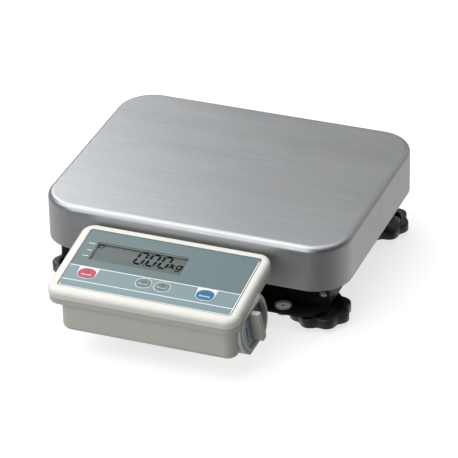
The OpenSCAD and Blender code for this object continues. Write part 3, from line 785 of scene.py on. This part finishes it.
def stud(corner, pitch=1.5 * MM, rows=8, cols=24):
    """Threaded rod with a real helix and a chamfered top end."""
    node = "foot_stud_" + corner
    lo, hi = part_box(node)
    c, r, depth = (lo + hi) / 2, (hi.x - lo.x) / 2, 0.8 * MM
    n = int((hi.z - lo.z) / pitch * rows)
    rings = []
    for k in range(n + 1):
        z = lo.z + (hi.z - lo.z) * k / n
        fade = min(1.0, (hi.z - z) / (1.5 * pitch))
        ring = []
        for i in range(cols):
            a = 2 * math.pi * i / cols
            phase = ((z - lo.z) / pitch - i / cols) % 1.0
            at_thread = r - depth * abs(phase * 2 - 1)
            rr = at_thread if fade >= 1 else at_thread * (0.78 + 0.22 * fade)
            ring.append(Vector((c.x + rr * math.cos(a), c.y + rr * math.sin(a), z)))
        rings.append(ring)
    verts, faces = stacked(rings)
    obj = mesh("stud_" + corner, verts, faces, MATS["zinc"], "knob_" + FEET[corner], sharp=80)
    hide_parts(node)


# radius and height of the pad's outline in millimetres, from the middle of its underside
PAD_PROFILE = [(0.2, 0.9), (6, 0.9), (6.6, 0.0), (9.4, 0.0), (9.9, 0.8), (11.4, 0.8), (11.9, 0.0),
               (14.6, 0.0), (15.1, 0.6), (15.6, 0.6), (16.1, 0.0), (16.6, 0.0), (17.0, 0.5), (17.0, 1.4),
               (16.6, 3.6), (16.1, 4.5), (15.2, 4.8), (6.8, 4.8), (6.1, 5.2), (6.0, 7.6), (5.6, 8.0),
               (0.2, 8.0)]


def foot_pad(corner):
    """Rubber pad with a rolled edge and grip rings underneath."""
    node = "foot_pad_" + corner
    lo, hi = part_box(node)
    rings = turned([(p * MM, lo.z + q * MM) for p, q in PAD_PROFILE], (lo + hi) / 2, 64)
    verts, faces = stacked(rings)
    body = "pad_" + FEET[corner]
    obj = mesh("pad_" + corner, verts, faces, MATS["black_rubber"], body, sharp=40)
    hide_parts(node)


for corner in FEET:
    knob(corner)
    stud(corner)
    foot_pad(corner)

# ---------------------------------------------------------------- hem of the pan


def pan_hem(sheet=1.5 * MM, radius=45 * MM):
    """The rolled lower edge of the pan's skirt."""
    z = PAN_LO.z
    w, d = PAN_HI.x - PAN_LO.x, PAN_HI.y - PAN_LO.y
    # inset from the skirt's outside, and height
    profile = [(sheet * 0.2, z - 0.2 * MM), (sheet * 0.02, z + 0.5 * MM), (sheet * 0.02, z + 1.2 * MM),
               (sheet * 0.5, z + 1.7 * MM), (sheet * 2.2, z + 2.0 * MM), (sheet * 5, z + 1.2 * MM),
               (sheet * 5, z + 0.2 * MM), (sheet * 2.0, z - 0.3 * MM)]
    rings = []
    for inset, height in profile:
        outline = rounded(w - 2 * inset, d - 2 * inset, max(radius - inset, 0.0005), 16)
        rings.append([Vector((PAN_MID.x + px, PAN_MID.y + py, height)) for px, py in outline])
    verts, faces = stacked(rings, closed=True)
    mesh("pan_hem", verts, faces, MATS["pan_steel"], "pan")


pan_hem()

# ---------------------------------------------------------------- bubble level

level_lo, level_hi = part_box("level_glass")


def level_part(name, profile, material, closed=False):
    """A turned part of the level: radius and height over the top of its glass, in millimetres."""
    middle = (level_lo + level_hi) / 2
    rings = turned([(p * MM, level_hi.z + q * MM) for p, q in profile], middle)
    verts, faces = stacked(rings, closed=closed)
    mesh(name, verts, faces, material, "base")


level_part("level_circle", [(2.6, 0.02), (2.6, 0.08), (2.85, 0.08), (2.85, 0.02)], PRINT_DARK,
           closed=True)
level_part("level_bubble_shape", [(0.2, -1.3), (0.9, -1.1), (1.25, -0.5), (0.9, -0.1), (0.2, 0.03)],
           MATS["chip_black"])

# ---------------------------------------------------------------- battery door label

# plain marks in a row down the label, in door millimetres; the label lies below the rim plane
MARK = [(-1.4, -1.9), (1.4, -1.9), (1.4, 0.3), (0.3, 1.9), (-1.4, 1.9)]
MARK_Z = (-4.7, -4.62)
MARKS_AT = ((-2.4, -14.0), (1.8, -14.2), (5.9, -14.5), (9.9, -14.9), (13.7, -15.5))
for i, place in enumerate(MARKS_AT):
    plate(f"door_mark_{i}", MARK, *MARK_Z, PRINT_DARK, "cap", "cap_blue_grey", place, DOOR)

# ---------------------------------------------------------------- softened edges on the CAD nodes


def soften(node, width):
    """Rounds a CAD node's sharp edges with modifiers, leaving its mesh as it is."""
    obj = NODES[node]
    weld = obj.modifiers.new("weld", "WELD")
    weld.merge_threshold = 0.00001
    bevel = obj.modifiers.new("bevel", "BEVEL")
    bevel.width = width
    bevel.segments = 2
    bevel.limit_method = "ANGLE"
    bevel.angle_limit = math.radians(40)
    bevel.use_clamp_overlap = True
    bevel.harden_normals = False


EDGE_WIDTHS = {"upper_cover": 0.25, "lower_shell": 0.3, "battery_cap": 0.7, "cap_latch": 1.1,
               "base_frame": 0.9, "indicator_bracket": 0.6}
for node, width in EDGE_WIDTHS.items():
    soften(node, width * MM)

# ---------------------------------------------------------------- floor, light and camera

SPAN = 6.0
floor_mesh = bpy.data.meshes.new("floor")
corners = [(-SPAN, -SPAN, 0), (SPAN, -SPAN, 0), (SPAN, SPAN, 0), (-SPAN, SPAN, 0)]
floor_mesh.from_pydata(corners, [], [(0, 1, 2, 3)])
floor = bpy.data.objects.new("floor", floor_mesh)
bpy.context.scene.collection.objects.link(floor)
floor_mat = Mat("pale_floor", (0.4, 0.4, 0.4), 0.8)
cloud = floor_mat.noise(floor_mat.place(), 3.0, 2.0)
floor_mat.color(floor_mat.mix(cloud, (0.39, 0.39, 0.39), (0.41, 0.41, 0.41)))
floor_mat.set("Emission Color", (1, 1, 1, 1))
floor_mat.set("Emission Strength", 0.72)
floor_mesh.materials.append(floor_mat.mat)
floor.location.z = CAD_BOX[0][2] - 0.0002
floor.visible_glossy = False
floor.visible_diffuse = False

world = bpy.data.worlds.new("studio")
bpy.context.scene.world = world
world.use_nodes = True
sky = world.node_tree
bg = sky.nodes["Background"]


def sky_math(operation, value, factor, add=None):
    """A math node of the sky: value by factor, plus add where it is given."""
    n = sky.nodes.new("ShaderNodeMath")
    n.operation = operation
    sky.links.new(value, n.inputs[0])
    n.inputs[1].default_value = factor
    if isinstance(add, float):
        n.inputs[2].default_value = add
    elif add is not None:
        sky.links.new(add, n.inputs[2])
    return n.outputs[0]


coord = sky.nodes.new("ShaderNodeTexCoord")
split = sky.nodes.new("ShaderNodeSeparateXYZ")
ramp = sky.nodes.new("ShaderNodeValToRGB")
half_up = sky.nodes.new("ShaderNodeMapRange")
half_up.inputs["From Min"].default_value = -1
half_up.inputs["From Max"].default_value = 1
sky.links.new(coord.outputs["Generated"], split.inputs[0])
sky.links.new(split.outputs[2], half_up.inputs["Value"])
sky.links.new(half_up.outputs["Result"], ramp.inputs["Fac"])
# brighter from the left and from behind, darker from the right
lean = sky_math("MULTIPLY_ADD", split.outputs[0], -0.35, 1.0)
turn = sky_math("MULTIPLY_ADD", split.outputs[1], 0.7, lean)
sky.links.new(sky_math("MULTIPLY", turn, 0.78), bg.inputs["Strength"])
sky.links.new(ramp.outputs["Color"], bg.inputs["Color"])
# grey by height, from straight down at 0 to straight up at 1
elements = ramp.color_ramp.elements
elements[0].position, elements[0].color = 0.0, (0.85, 0.85, 0.85, 1)
elements[1].position, elements[1].color = 1.0, (1.0, 1.0, 1.0, 1)
for pos, level in ((0.15, 0.86), (0.27, 0.62), (0.45, 0.38), (0.53, 0.24), (0.7, 0.15), (0.85, 0.42)):
    e = elements.new(pos)
    e.color = (level, level, level, 1)

TARGET = Vector((PAN_MID.x, PAN_MID.y, PAN_HI.z))


def area(name, place, size, watts):
    """A rectangular light aimed at the middle of the pan's top."""
    data = bpy.data.lights.new(name, "AREA")
    data.shape = "RECTANGLE"
    data.size, data.size_y = size
    data.energy = watts
    obj = bpy.data.objects.new(name, data)
    obj.location = Vector(place)
    obj.rotation_mode = "QUATERNION"
    obj.rotation_quaternion = (TARGET - obj.location).to_track_quat("-Z", "Y")
    bpy.context.scene.collection.objects.link(obj)


area("key_light", (-0.9, -0.8, 2.0), (2.6, 2.6), 38)
area("top_light", (-0.2, 0.55, 2.3), (2.8, 2.4), 9.5)
area("front_fill", (-0.4, -2.2, 0.5), (1.2, 1.2), 14)
area("sheen_light", (-1.15, 1.2, 1.36), (0.9, 0.9), 8.0)
area("rim_light", (0.95, 1.5, 0.7), (1.2, 1.2), 1.6)

cam_data = bpy.data.cameras.new("camera")
cam = bpy.data.objects.new("camera", cam_data)
bpy.context.scene.collection.objects.link(cam)
bpy.context.scene.camera = cam
AZ, EL, ROLL = math.radians(21.46), math.radians(30.31), math.radians(-1.252)
DIST, LENS = 3.849, 259.94
# from the middle of the pan's top to the point in the middle of the view
AIM_SHIFT = Vector((0.0502, -0.138, 0))
back = Vector((math.sin(AZ) * math.cos(EL), -math.cos(AZ) * math.cos(EL), math.sin(EL)))
right = Vector((math.cos(AZ), math.sin(AZ), 0))
up = back.cross(right)
right, up = right * math.cos(ROLL) + up * math.sin(ROLL), up * math.cos(ROLL) - right * math.sin(ROLL)
cam.rotation_mode = "QUATERNION"
cam.rotation_quaternion = Matrix((right, up, back)).transposed().to_quaternion()
cam.location = TARGET + AIM_SHIFT + back * DIST
cam_data.sensor_width = 36
cam_data.lens = LENS
cam_data.clip_end = 60
bpy.context.scene.view_settings.view_transform = "Standard"
